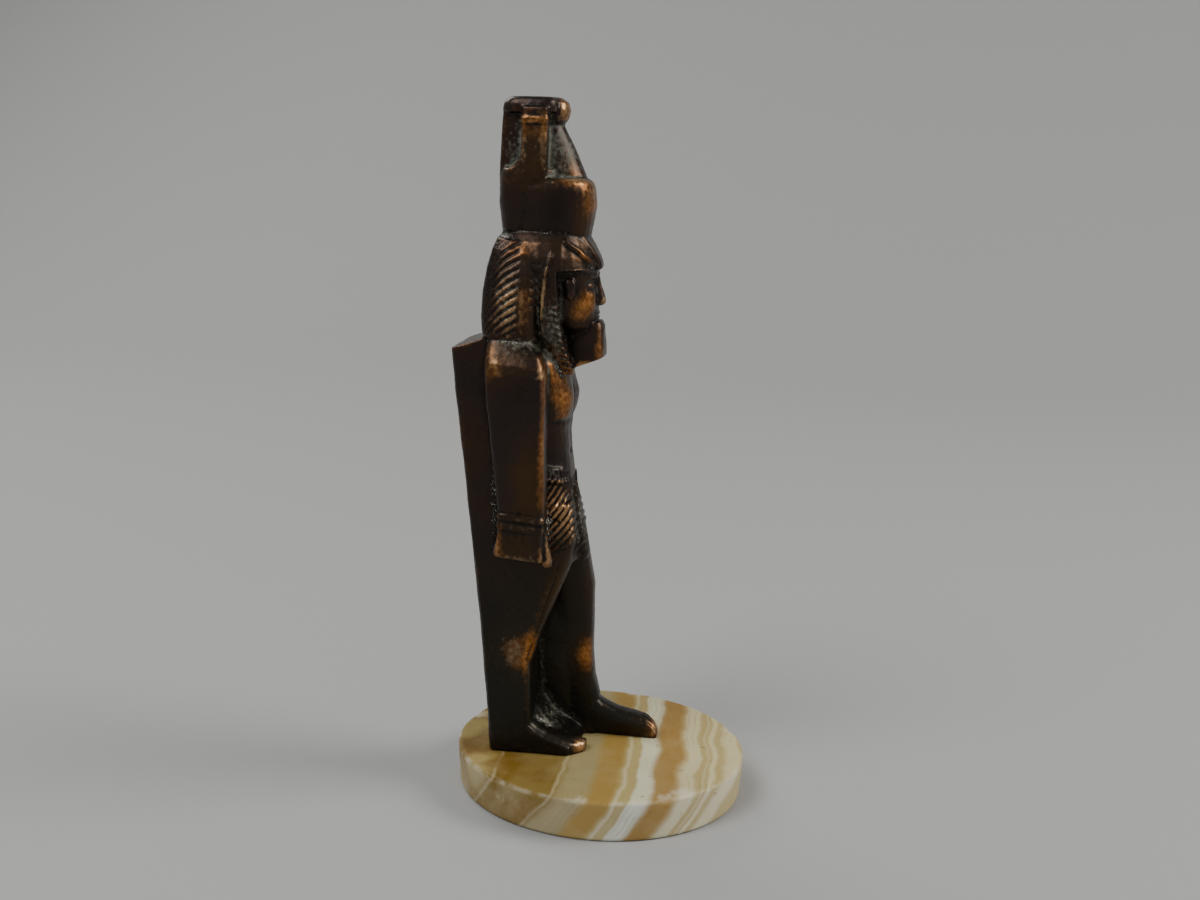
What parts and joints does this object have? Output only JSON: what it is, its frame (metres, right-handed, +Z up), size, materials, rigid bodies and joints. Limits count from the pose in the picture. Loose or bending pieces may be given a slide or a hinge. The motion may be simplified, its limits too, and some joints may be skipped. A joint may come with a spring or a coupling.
{
  "type": "figurine",
  "caption": "Striding king in a tall crown with his back to a pillar, cast in bronze in one piece, standing on a sawn disc of banded onyx.",
  "frame": {"origin": "centre of the base's underside", "axes": "+Z up, and the figure faces -Y"},
  "size_m": [0.0774, 0.08, 0.1826],
  "materials": {
    "bronze": "dark brown patina, rubbed to copper on the high spots",
    "onyx": "polished stone, banded in honey, cream and white"
  },
  "bodies": {
    "root": {"bronze_king": "bronze", "onyx_base": "onyx"}
  },
  "joints": []
}
